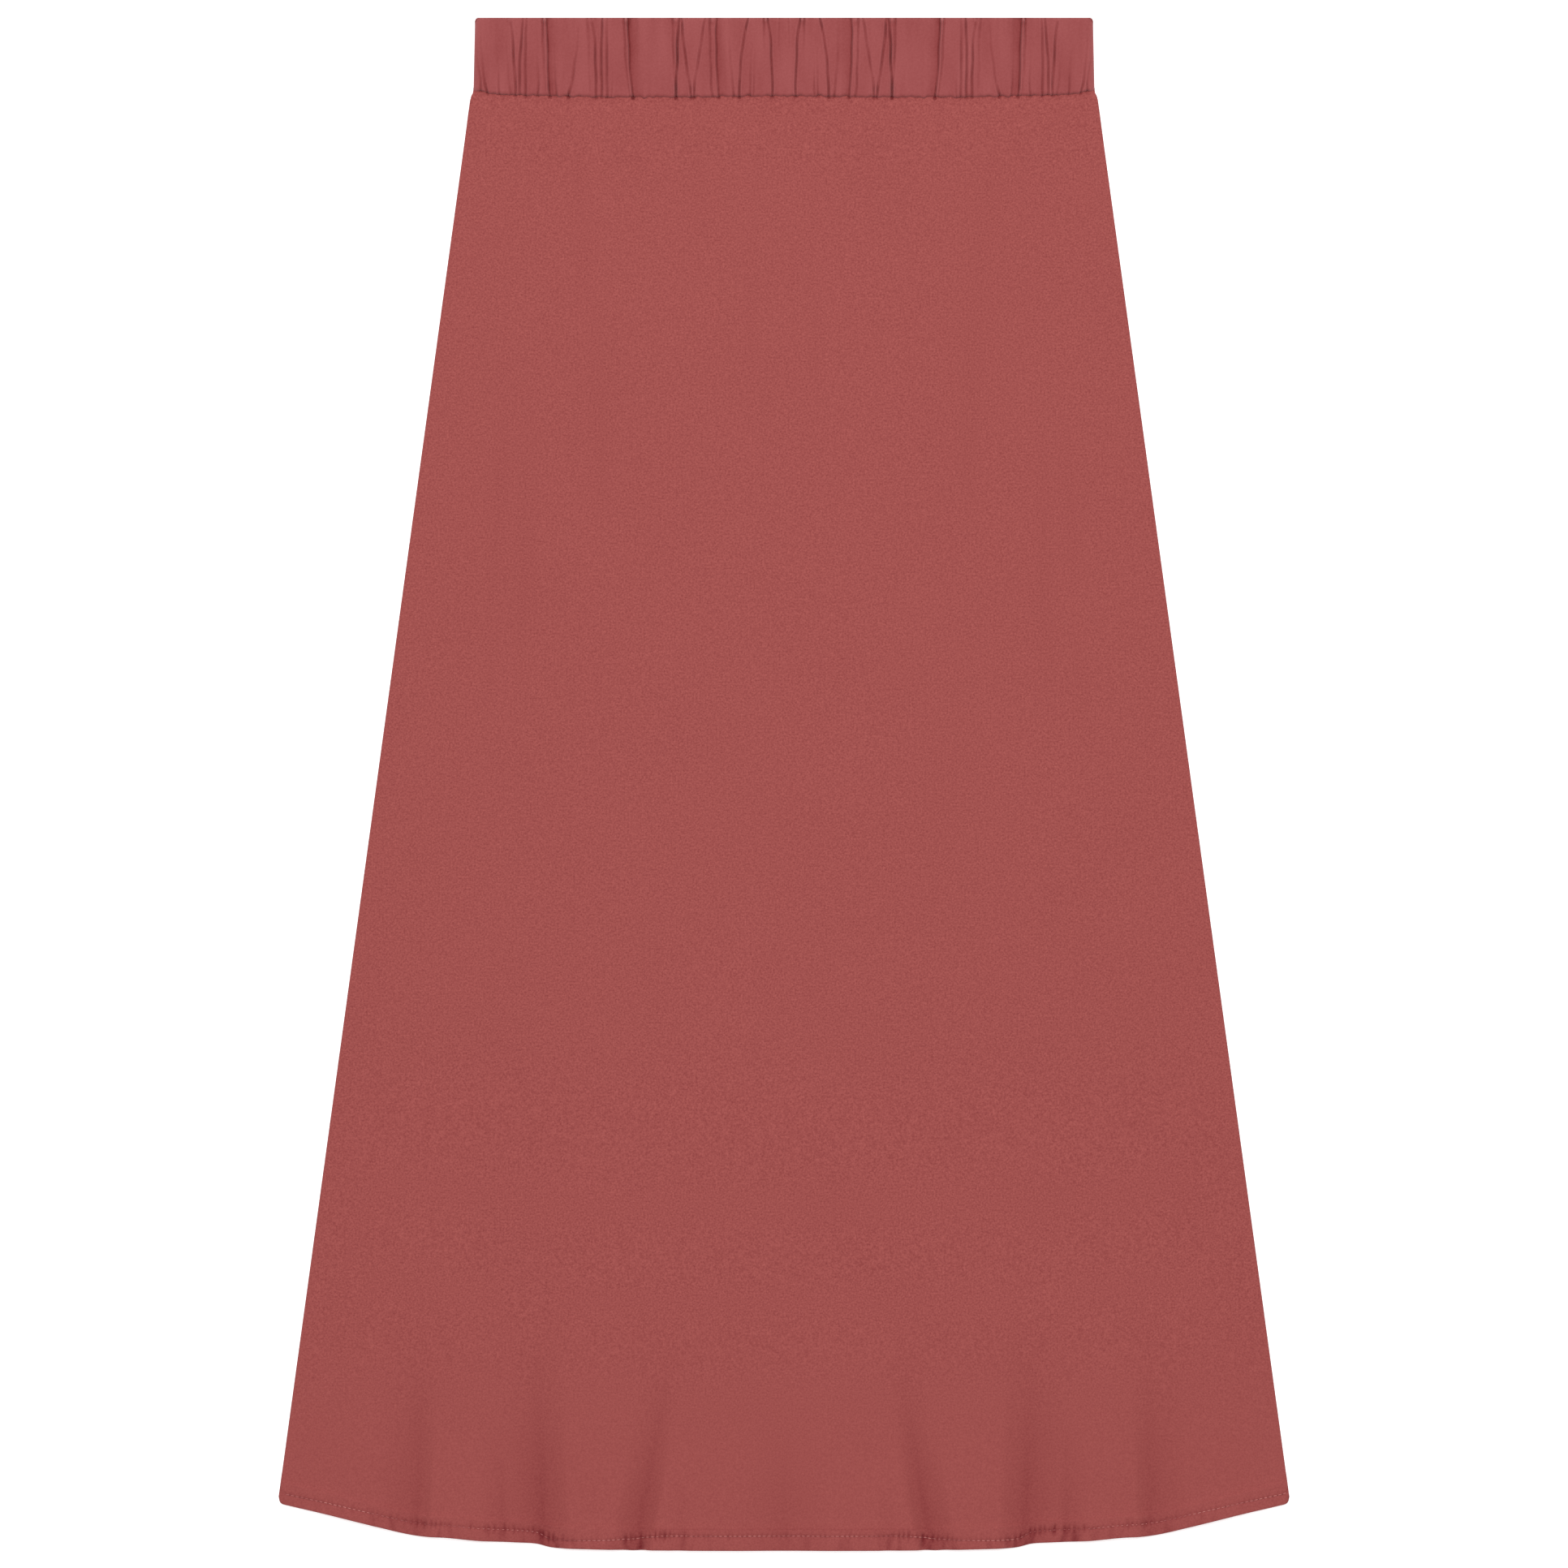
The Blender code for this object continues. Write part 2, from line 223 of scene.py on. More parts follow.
# %% [markdown]
# The hem rises towards the sides and steps a little at each flute, and the waist seam
# bows. A plain arc would miss those steps, so each line is a short table, measured on
# the photograph. Places are shares of the half width, and serve both halves.

# %% Hem line and waist seam
# Share of the half width, and rise above the lowest point in mm
HEM_LINE = (
    (0.000, 0.0),
    (0.166, 0.1),
    (0.272, 0.3),
    (0.293, 0.0),
    (0.314, 0.4),
    (0.379, 0.9),
    (0.446, 1.5),
    (0.458, 1.9),
    (0.483, 3.7),
    (0.500, 4.2),
    (0.591, 5.4),
    (0.668, 7.4),
    (0.705, 7.8),
    (0.725, 8.5),
    (0.800, 13.4),
    (0.900, 20.1),
    (0.977, 24.7),
    (0.990, 25.6),
    (0.996, 26.8),
    (1.000, 30.0),
)
# Share of the half width, and drop below the fold in mm
WAIST_SEAM = (
    (0.00, 42.8),
    (0.40, 43.6),
    (0.55, 43.6),
    (0.70, 43.1),
    (0.92, 42.0),
    (0.95, 41.4),
    (0.97, 40.3),
    (1.00, 40.0),
)

hem_rise = smooth_line(HEM_LINE)
waist_drop = smooth_line(WAIST_SEAM)
print("rise of the hem at the side in mm:", hem_rise(1.0))

# %% [markdown]
# The two panels share one outline, with straight side seams between the hem and the
# waist seam. One function places any point of a panel from how far across and how
# far up it is, so the front, the back and the stitches always agree.

# %% Outline of the panels
panel_low, panel_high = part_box("front_panel")
casing_low, casing_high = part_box("waistband_front")
# The photograph's outline runs this far outside the solids'
SIDE_OUTSIDE = 0.4 * MM
HEM_OUTSIDE = 0.3 * MM
HALF_HEM = panel_high.x + SIDE_OUTSIDE
HALF_BODY_TOP = 173.7 * MM
HEM_Y = panel_low.y - HEM_OUTSIDE
WAIST_FOLD_Y = casing_high.y
HEM_CORNER_RISE = 30.6 * MM
BODY_TOP_DROP = 42.0 * MM
BODY_CORNER_INSET = 1.1 * MM
BODY_CORNER_REACH = 6.0 * MM
CASING_DEPTH = WAIST_SEAM[0][1] * MM
PANEL_HEIGHT = WAIST_FOLD_Y - CASING_DEPTH - HEM_Y


def body_half_width(y):
    """Half the width of the panels: straight side seams, and a small curve at the waist."""
    body_top = WAIST_FOLD_Y - BODY_TOP_DROP
    hem_corner = HEM_Y + HEM_CORNER_RISE
    along = (y - hem_corner) / (body_top - hem_corner)
    corner = rounded(body_top - y, BODY_CORNER_REACH, BODY_CORNER_INSET)
    return mix(HALF_HEM, HALF_BODY_TOP, along) - corner


def hem_edge(share):
    """Where the hem's edge lies along the skirt, at a share of the half width."""
    return HEM_Y + hem_rise(abs(share)) * MM


def waist_seam(share):
    """Where the waist seam lies along the skirt, at a share of the half width."""
    return WAIST_FOLD_Y - waist_drop(abs(share)) * MM


def panel_point(share, up):
    """Place of a panel's point, from its share across and how far up the panel it is."""
    y = mix(hem_edge(share), waist_seam(share), min(up / PANEL_HEIGHT, 1.0))
    return share * body_half_width(y), y


print("panel height in mm:", round(PANEL_HEIGHT / MM, 1))

# %% [markdown]
# A flared skirt laid flat has more cloth at its hem than the table has width for,
# so the front lifts into flutes that fade out upwards. Each valley between them is
# a row: where it starts and ends, how deep it is, and how wide each slope runs. Its
# bottom is round, because soft cloth rolls and does not break, and its colour is
# painted darker there, a painted shade that deepens to a line.

# %% Flutes of the hem
FLARE_LIFT = 3.6 * MM
FLARE_REACH = 280 * MM
FLARE_SIDE_REACH = 42 * MM
# Painted shade in the valleys: how far up it reaches, its core line, and its share on slopes and
# core
VALLEY_SHADE_REACH = 125 * MM
VALLEY_SHADE_CORE = 0.30
VALLEY_POWER = 1.5
SLOPE_PAINTED_SHADE = 0.7
CORE_PAINTED_SHADE = 0.3


def named_rows(columns, rows):
    """A table as a list of dictionaries: each number under the name of its column."""
    return [dict(zip(columns, row)) for row in rows]


# In mm: distance out at the hem and at the valley's top, width of the inner and the
# outer slope, and reach above the hem. Depth is a share of the lift.
FLUTE_COLUMNS = ("out_hem", "out_top", "depth", "inner_run", "outer_run", "reach")
FLUTES = named_rows(FLUTE_COLUMNS, (
    (0, 0, 0.36, 26, 26, 85),
    (58, 56, 0.22, 6, 6, 45),
    (82, 58, 1.00, 9, 15, 135),
    (133, 141, 0.96, 15, 24, 235),
    (156, 158, 0.55, 10, 13, 80),
    (204, 199, 0.66, 8, 24, 145),
))
for flute in FLUTES:
    top_half_width = body_half_width(HEM_Y + flute["reach"] * MM)
    flute["share_hem"] = flute["out_hem"] * MM / body_half_width(HEM_Y)
    flute["share_top"] = flute["out_top"] * MM / top_half_width


def flare(x, y, up):
    """Height of the front's lift, and the valley's painted shade, as a share of the darkest."""
    half_width = body_half_width(y)
    out = abs(x)
    lift = FLARE_LIFT * (1.0 - ease(up / FLARE_REACH))
    lift *= ease((half_width - out) / FLARE_SIDE_REACH)
    shade = 0.0
    for flute in FLUTES:
        reach = flute["reach"] * MM
        if up > reach:
            continue
        away = out - mix(flute["share_hem"], flute["share_top"], up / reach) * half_width
        run = flute["outer_run"] if away > 0.0 else flute["inner_run"]
        side = 1.0 - min(abs(away) / (run * MM), 1.0)
        core = max(1.0 - (1.0 - side) / VALLEY_SHADE_CORE, 0.0)
        valley = flute["depth"] * (1.0 - ease(up / reach))
        lift *= 1.0 - valley * side ** VALLEY_POWER * (1.0 + VALLEY_POWER - VALLEY_POWER * side)
        # The valley's colour is painted darker here: painted shade, most of all in its core
        shade_fade = 1.0 - ease(up / min(reach, VALLEY_SHADE_REACH))
        shade = max(shade, flute["depth"] * shade_fade * (SLOPE_PAINTED_SHADE * side + CORE_PAINTED_SHADE * core))
    return lift, shade


print("lift at the hem's centre in mm:", round(flare(0.0, HEM_Y, 0.0)[0] / MM, 2))

# %% [markdown]
# The waistband is a doubled strip with elastic inside, and the elastic draws it up
# into sharp, uneven creases. They are what makes it a real waistband, so each is a
# row of its own, followed from the top fold to the seam. A wave or a noise pattern
# would be quicker, but gathers never repeat and never run quite parallel.

# %% Gathers of the waistband
# In mm: distance out at the fold, halfway and at the seam, depth at the same three
# places, and width of the outer and the inner slope.
GATHER_COLUMNS = (
    "out_fold", "out_middle", "out_seam",
    "deep_fold", "deep_middle", "deep_seam",
    "outer_run", "inner_run",
)
GATHERS = named_rows(GATHER_COLUMNS, (
    (171.0, 169.8, 168.1, 0.0, 0.3, 0.9, 1.3, 1.3),
    (168.4, 167.8, 164.5, 0.0, 0.5, 1.0, 1.4, 1.4),
    (160.0, 159.5, 157.5, 0.0, 0.2, 0.7, 1.4, 1.4),
    (154.6, 153.8, 151.4, 0.0, 0.2, 0.6, 1.2, 1.2),
    (152.1, 149.6, 149.0, 0.5, 1.4, 1.1, 1.2, 1.2),
    (145.0, 146.2, 146.0, 0.9, 1.3, 0.9, 1.1, 1.1),
    (143.0, 143.3, 143.1, 0.5, 1.0, 1.3, 1.4, 1.4),
    (137.6, 136.6, 136.4, 0.0, 0.2, 0.9, 1.1, 1.1),
    (133.8, 133.3, 132.6, 0.8, 0.5, 0.1, 0.9, 0.9),
    (131.4, 130.9, 129.7, 1.9, 2.2, 1.9, 0.9, 5.6),
    (127.2, 127.4, 126.0, 0.0, 0.2, 0.7, 1.2, 1.2),
    (113.5, 115.5, 119.5, 0.0, 0.7, 1.4, 1.4, 1.4),
    (109.2, 107.8, 107.4, 0.5, 0.5, 0.2, 1.5, 1.5),
    (106.4, 104.4, 104.2, 0.6, 1.3, 1.2, 1.2, 1.2),
    (100.4, 101.3, 100.9, 1.0, 1.3, 1.1, 1.0, 1.0),
    (98.1, 98.1, 98.1, 0.6, 1.0, 1.1, 1.2, 1.2),
    (94.7, 95.2, 95.8, 0.0, 0.0, 0.6, 1.1, 1.1),
    (88.7, 87.9, 85.4, 0.8, 0.7, 0.3, 0.9, 0.9),
    (86.3, 85.7, 83.8, 1.9, 2.3, 2.1, 0.9, 6.0),
    (62.1, 60.9, 60.3, 0.8, 0.7, 0.2, 1.2, 1.2),
    (58.0, 59.4, 59.9, 1.6, 2.2, 2.1, 1.0, 1.8),
    (56.6, 54.5, 51.5, 1.4, 1.5, 1.3, 1.8, 1.1),
    (43.3, 47.2, 50.0, 0.7, 1.0, 1.1, 1.3, 1.3),
    (41.0, 40.8, 39.5, 0.7, 0.8, 0.8, 1.2, 1.2),
    (37.4, 37.3, 36.0, 1.8, 1.7, 1.5, 1.0, 5.0),
    (30.0, 29.6, 28.2, 0.0, 0.4, 0.9, 1.3, 1.3),
    (20.0, 23.6, 24.8, 1.3, 1.5, 1.5, 1.0, 1.0),
    (18.0, 18.5, 18.7, 0.0, 0.2, 0.9, 1.2, 1.2),
    (15.6, 16.4, 17.1, 0.0, 0.1, 0.7, 1.1, 1.1),
    (11.2, 10.6, 10.0, 0.8, 0.1, 0.0, 1.0, 1.0),
    (8.8, 7.0, 6.5, 1.4, 1.5, 1.3, 0.9, 0.9),
    (2.5, 2.5, 2.5, 0.4, 0.1, 0.0, 0.8, 0.8),
))
CREASE_WANDER = 0.7 * MM
CREASE_SWELL = 0.6
# Steps through the noise: from one crease to the next, and from the seam to the fold
CREASE_STEP = 1.7
WANDER_STEP = 3.5
SWELL_STEP = 5.0
# Layers of the noise that lie far apart, so that the two patterns do not agree
WANDER_LAYER = 2.0
SWELL_LAYER = 9.0


def at_height(gather, name, height):
    """A gather's value at a height, 0 at the seam and 1 at the fold, on a smooth arc."""
    seam, middle, fold = (gather[name + place] for place in ("_seam", "_middle", "_fold"))
    straight = mix(seam, fold, height)
    bow = (middle - (seam + fold) / 2) * 4.0 * height * (1.0 - height)
    return (straight + bow) * MM


def gathers_at(height):
    """Every crease at one height: its place, depth and slopes, in metres."""
    creases = []
    for number, gather in enumerate(GATHERS):
        wander = noise.noise(Vector((CREASE_STEP * number, WANDER_STEP * height, WANDER_LAYER)))
        swell = noise.noise(Vector((CREASE_STEP * number, SWELL_STEP * height, SWELL_LAYER)))
        place = at_height(gather, "out", height) + CREASE_WANDER * wander
        deep = max(at_height(gather, "deep", height), 0.0) * (1.0 + CREASE_SWELL * swell)
        creases.append((place, deep, gather["outer_run"] * MM, gather["inner_run"] * MM))
    return creases


seam_creases = gathers_at(0.0)
print("creases in the waistband's front:", 2 * len(seam_creases))

# %% [markdown]
# A crease is a sharp line where the cloth folds in, with a slope to either side, and
# the cloth that it pushes aside stands up in a small lip. A few have one long slope,
# where a whole billow leans over, and no lip on that side.

# %% Profile of a crease
CREASE_CORE = 0.5 * MM
CORE_SHARE = 0.55
CORE_POWER = 1.6
SLOPE_POWER = 2.0
LONG_SLOPE = 2.4 * MM
LONG_SLOPE_POWER = 0.9
LIP_PLACE = 1.25 * MM
LIP_WIDTH = 0.7 * MM
LIP_SHARE = 0.22


def crease_depth(out, creases):
    """How far the creases sink the cloth: a sharp core, and a slope to either side."""
    depth = 0.0
    for place, deep, outer_run, inner_run in creases:
        away = abs(out - place)
        run = outer_run if out > place else inner_run
        if away < run:
            core = max(1.0 - away / min(run, CREASE_CORE), 0.0) ** CORE_POWER
            slope = (1.0 - away / run) ** (LONG_SLOPE_POWER if run > LONG_SLOPE else SLOPE_POWER)
            depth += deep * mix(slope, core, CORE_SHARE)
    return depth


def lip_height(out, creases):
    """How far the cloth stands up beside each crease, but not on a long slope."""
    height = 0.0
    for place, deep, _, inner_run in creases:
        past = abs(abs(out - place) - LIP_PLACE) / LIP_WIDTH
        if past < 1.0 and (out > place or inner_run < LONG_SLOPE):
            height += deep * LIP_SHARE * (1.0 - past ** 2) ** 2
    return height


deepest = max(crease_depth(place, seam_creases) for place, *_ in seam_creases)
print("deepest crease at the seam in mm:", round(deepest / MM, 2))

# %% [markdown]
# At the top fold the elastic bunches a few creases into tucks, and each shows as a
# bead of cloth in a dark ring. They sit where the photograph has them, so they are a
# table as well.

# %% Tucks at the top fold
# In mm: distance out of each tuck, its radius, and its height
TUCK_COLUMNS = ("out", "radius", "height")
TUCKS = named_rows(TUCK_COLUMNS, (
    (152.1, 1.1, 0.5),
    (132.6, 1.3, 0.8),
    (106.2, 1.1, 0.5),
    (87.5, 1.4, 0.8),
    (60.0, 1.4, 0.8),
    (39.5, 1.3, 0.7),
    (10.2, 1.1, 0.5),
))
TUCK_BELOW_FOLD = 1.5 * MM
TUCK_STRETCH = 1.5
TUCK_REACH = 5.0 * MM
# The ring's middle and width in radii of the tuck, and its depth as a share
RING_MIDDLE = 1.2
RING_WIDTH = 0.8
RING_SHARE = 0.5


def tuck_height(out, below_fold):
    """Height of the tucks: a bead, and a ring round it that is sunk."""
    height = 0.0
    if below_fold > TUCK_REACH:
        return height
    for tuck in TUCKS:
        across = (out - tuck["out"] * MM) / (tuck["radius"] * MM)
        along = (below_fold - TUCK_BELOW_FOLD) / (TUCK_STRETCH * tuck["radius"] * MM)
        near = sqrt(across ** 2 + along ** 2)
        if near < RING_MIDDLE + RING_WIDTH:
            ring = max(1.0 - abs(near - RING_MIDDLE) / RING_WIDTH, 0.0)
            height += tuck["height"] * MM * (ease(1.0 - near) - RING_SHARE * ring)
    return height


print("tucks at the top fold:", 2 * len(TUCKS))

# %% [markdown]
# Where a crease ends at the waist seam it pulls a small notch into the cloth below.
# A notch takes its place and depth from its crease, so the two always meet.

# %% Notches under the waist seam
NOTCH_REACH = 2.2 * MM
NOTCH_RUN = 1.15 * MM
NOTCH_SHARE = 0.75
NOTCH_STRETCH = 1.3
NOTCH_LEAST = 0.2 * MM


def notch_depth(out, below_seam, creases):
    """Depth of the notches that the waistband's creases pull into the cloth below."""
    depth = 0.0
    for place, deep, *_ in creases:
        near = abs(out - place) / NOTCH_RUN
        along = below_seam / min(NOTCH_REACH, NOTCH_STRETCH * deep + NOTCH_LEAST)
        if near < 1.0 and along < 1.0:
            depth = max(depth, deep * NOTCH_SHARE * (1.0 - near ** 2) * (1.0 - along ** 2))
    return depth


deepest_notch = max(notch_depth(place, 0.0, seam_creases) for place, *_ in seam_creases)
print("deepest notch in mm:", round(deepest_notch / MM, 2))

# %% [markdown]
# Cloth that was stored folded keeps long soft folds. On this skirt they are so faint
# that they show more as painted shade than in form. A noise would put them anywhere,
# so each is a row, and fades out towards both of its ends.

# %% Storage folds
# In mm: distance out and height above the skirt's middle at both ends, the fold's
# depth, and its width to either side
FOLD_COLUMNS = ("out_start", "y_start", "out_end", "y_end", "deep", "run")
STORAGE_FOLDS = named_rows(FOLD_COLUMNS, (
    (117.5, 372.0, 107.0, 265.0, 0.35, 9.0),
    (107.0, 275.0, 99.5, 130.0, 0.30, 11.0),
    (153.5, 222.0, 163.0, 90.0, 0.30, 9.0),
    (163.0, 100.0, 165.0, 15.0, 0.25, 11.0),
    (142.0, 228.0, 146.5, 25.0, 0.25, 12.0),
    (23.0, 280.0, 9.0, 205.0, 0.25, 8.0),
    (48.6, 366.0, 47.0, 315.0, 0.20, 7.0),
    (16.0, 352.0, 16.5, 290.0, 0.15, 7.0),
))


def storage_fold_depth(out, y):
    """How far the storage folds sink the cloth, most of all halfway along each."""
    depth = 0.0
    for fold in STORAGE_FOLDS:
        start_y = fold["y_start"] * MM
        end_y = fold["y_end"] * MM
        along = (start_y - y) / (start_y - end_y)
        if 0.0 < along < 1.0:
            place = mix(fold["out_start"], fold["out_end"], along) * MM
            near = min(abs(out - place) / (fold["run"] * MM), 1.0)
            depth += fold["deep"] * MM * (1.0 - near) ** 2 * ease(4.0 * along * (1.0 - along))
    return depth


print("storage folds:", 2 * len(STORAGE_FOLDS))

# %% [markdown]
# The topstitch runs a little above the hem's edge, and comes nearer to it where the
# flutes start. All that belongs to the stitching is placed from this line: the
# puckers, the groove of the thread and the stitches themselves.

# %% Line of the topstitch
STITCH_PITCH = 2.7 * MM
# Share of the half width, and height of the topstitch above the edge in mm
STITCH_LINE = (
    (0.000, 8.2),
    (0.230, 8.1),
    (0.290, 6.5),
    (0.363, 5.1),
    (0.455, 4.6),
    (0.488, 6.4),
    (0.550, 6.9),
    (0.730, 7.0),
    (1.000, 6.0),
)

stitch_rise = smooth_line(STITCH_LINE)


def stitch_up(share):
    """Height of the topstitch above the hem's edge."""
    return stitch_rise(abs(share)) * MM


print("topstitch above the edge, at the centre, in mm:", round(stitch_up(0.0) / MM, 1))

# %% [markdown]
# Every needle hole of the topstitch draws the hem in a little, most of all where a
# flute starts, and broader dents run from the stitches down to the edge. Chance moves,
# stretches and deepens each pucker by a share, so that no two are alike, as on any
# sewn hem.

# %% Puckers of the hem
PUCKER_DEPTH = 0.85 * MM
PUCKER_RUN = 1.05 * MM
PUCKER_LENGTH = 3.0 * MM
PUCKER_REACH = 3.0 * PUCKER_LENGTH
PUCKER_RISE = 0.3 * MM
CHANCE_MOVE = 0.15
CHANCE_STRETCH = 0.6
CHANCE_DEPTH = 0.4
DENT_DEPTH = 1.5 * MM
DENT_WIDTH = 3.6 * MM
DENT_LENGTH = 3.0 * DENT_WIDTH
DENT_LOW = 1.5 * MM
DENT_FADE = 2.0 * PUCKER_LENGTH
# Distance out from the centre in mm, and how strongly the hem puckers there
PUCKER_STRENGTH = (
    (0, 0.30),
    (50, 0.30),
    (62, 0.8),
    (78, 1.0),
    (90, 0.7),
    (100, 0.2),
    (118, 0.35),
    (130, 1.0),
    (168, 0.85),
    (182, 0.25),
    (197, 0.9),
    (215, 0.5),
    (245, 0.2),
    (280, 0.25),
)

pucker_strength = smooth_line(PUCKER_STRENGTH)


def pucker_depth(x, share, up):
    """A short dent at each needle hole, and broader ones down to the hem's edge."""
    above = up - stitch_up(share)
    if above > PUCKER_REACH:
        return 0.0
    strength = pucker_strength(min(abs(x) / MM, PUCKER_STRENGTH[-1][0]))
    chance = noise.cell(Vector((x / STITCH_PITCH, 0.5, 0.5)))
    place = (x // STITCH_PITCH + 0.5 + CHANCE_MOVE * chance) * STITCH_PITCH
    narrow = max(1.0 - abs(x - place) / PUCKER_RUN, 0.0)
    length = PUCKER_LENGTH * (1.0 + CHANCE_STRETCH * chance)
    short = 1.0 - ease(abs(above - PUCKER_RISE) / length)
    pucker = PUCKER_DEPTH * (1.0 + CHANCE_DEPTH * chance) * narrow * short
    wave = noise.noise(Vector((x / DENT_WIDTH, above / DENT_LENGTH, 0.0)))
    dent = max(wave, 0.0) * (1.0 - ease((above + DENT_LOW) / DENT_FADE))
    return strength * (pucker + DENT_DEPTH * dent)


print("strongest pucker at, in mm out:", max(PUCKER_STRENGTH, key=lambda row: row[1])[0])

# %% [markdown]
# Two fine lines follow the hem as well: the shallow groove that the thread lies in,
# and above it a fainter one over the edge of the turned-up cloth, which the iron has
# pressed through. The second is seen only near the middle.

# %% Grooves along the hem
STITCH_GROOVE = 0.22 * MM
STITCH_GROOVE_RUN = 1.2 * MM
TURN_UP = 11.9 * MM
TURN_UP_RUN = 1.0 * MM
TURN_UP_GROOVE = 0.32 * MM
TURN_UP_SEEN = 60 * MM
TURN_UP_FADE = 40 * MM


def groove(away, run, depth):
    """Depth of a shallow round groove, at a distance from its middle."""
    return depth * (1.0 + cos(pi * min(abs(away) / run, 1.0))) / 2.0


def hem_grooves(x, share, up):
    """The thread's groove, and the faint line over the edge of the turned-up hem."""
    seen = 1.0 - ease((abs(x) - TURN_UP_SEEN) / TURN_UP_FADE)
    thread_line = groove(up - stitch_up(share), STITCH_GROOVE_RUN, STITCH_GROOVE)
    return thread_line + groove(up - TURN_UP, TURN_UP_RUN, TURN_UP_GROOVE * seen)


print("thread's groove in mm:", round(hem_grooves(0.0, 0.0, stitch_up(0.0)) / MM, 2))

# %% [markdown]
# A sheet of cloth could be a plane with a Solidify modifier, but a hem is thicker
# than the cloth above it and its edge is round. So a unit grid is extruded once,
# which gives two faces and a rim, and each point then goes to its own place, at the
# under or the outer height. Rows crowd together at both ends, where the form is fine.

# %% From a grid to a slab of cloth
def spaced(stops, end):
    """Distances in metres. A stop is a place, and the spacing from there on, in mm."""
    places = []
    ends = [place for place, _ in stops[1:]] + [end / MM]
    for (start, spacing), stop in zip(stops, ends):
        count = ceil((stop - start) / spacing)
        places += [mix(start, stop, part / count) * MM for part in range(count)]
    return places + [end]


def shares_across(columns):
    """Places from one side to the other, as shares of the half width from -1 to 1."""
    return [2.0 * step / columns - 1.0 for step in range(columns + 1)]


def cloth_slab(name, rows, material):
    """A closed slab from rows of points: x, y, under height, outer height and painted shade."""
    across_steps = len(rows[0]) - 1
    along_steps = len(rows) - 1
    shape = bmesh.new()
    # Each point keeps a painted shade: a number that darkens its colour in folds and lightens it
    # on ridges
    painted_shade_layer = shape.verts.layers.float.new("painted_shade")
    bmesh.ops.create_grid(shape, x_segments=across_steps, y_segments=along_steps, size=0.5)
    extruded = bmesh.ops.extrude_face_region(shape, geom=shape.faces[:])
    outer_points = {item for item in extruded["geom"] if isinstance(item, bmesh.types.BMVert)}
    for point in shape.verts:
        column = round((point.co.x + 0.5) * across_steps)
        row = round((point.co.y + 0.5) * along_steps)
        x, y, under, outer, painted_shade = rows[row][column]
        point.co = (x, y, outer if point in outer_points else under)
        point[painted_shade_layer] = painted_shade
    bmesh.ops.recalc_face_normals(shape, faces=shape.faces)
    mesh = bpy.data.meshes.new(name)
    shape.to_mesh(mesh)
    shape.free()
    mesh.shade_smooth()
    mesh.materials.append(material)
    print(name, "has", 2 * len(mesh.polygons), "triangles")
    return add_object(name, mesh)


sample = spaced(((0, 1), (3, 6)), 20 * MM)
print("rows of a 20 mm sample in mm:", [round(place / MM, 1) for place in sample])

# %% [markdown]
# Crepe is woven from tightly twisted yarns that shrink unevenly, which gives a matt,
# pebbled face with no clear weave. Each slab carries a painted shade for every point:
# low on a ridge, which is painted lighter as a highlight, and high in a fold, which is
# painted darker as shade. The pebbles, about a millimetre wide, and a broad faint
# mottle add to it, and one mix of a pale and a deep colour turns the sum into the
# cloth's colour, painted highlight and painted shade. Ironing has pressed the pebbles
# flatter towards the hem, so the grain fades there.

# %% Crepe
# Sockets of a colour mix, by number, because their names are used more than once
MIX_FACTOR = 0
MIX_LIGHT = 6
MIX_DEEP = 7
MIX_RESULT = 2
# Painted shade of flat cloth: less is a painted highlight, more a painted shade
FLAT_PAINTED_SHADE = 0.40
MOTTLE_SIZE = 60 * MM
MOTTLE_TONE = 0.05
PRESSED_Y = HEM_Y + 55 * MM
UNPRESSED_Y = HEM_Y + 135 * MM
PRESSED_SHARE = 0.5


def centred(tree, value, width):
    """Maps a noise of 0 to 1 to a band of this width round zero."""
    band = {"Value": value, "To Min": -width / 2, "To Max": width / 2}
    return add_node(tree, "ShaderNodeMapRange", band).outputs[0]


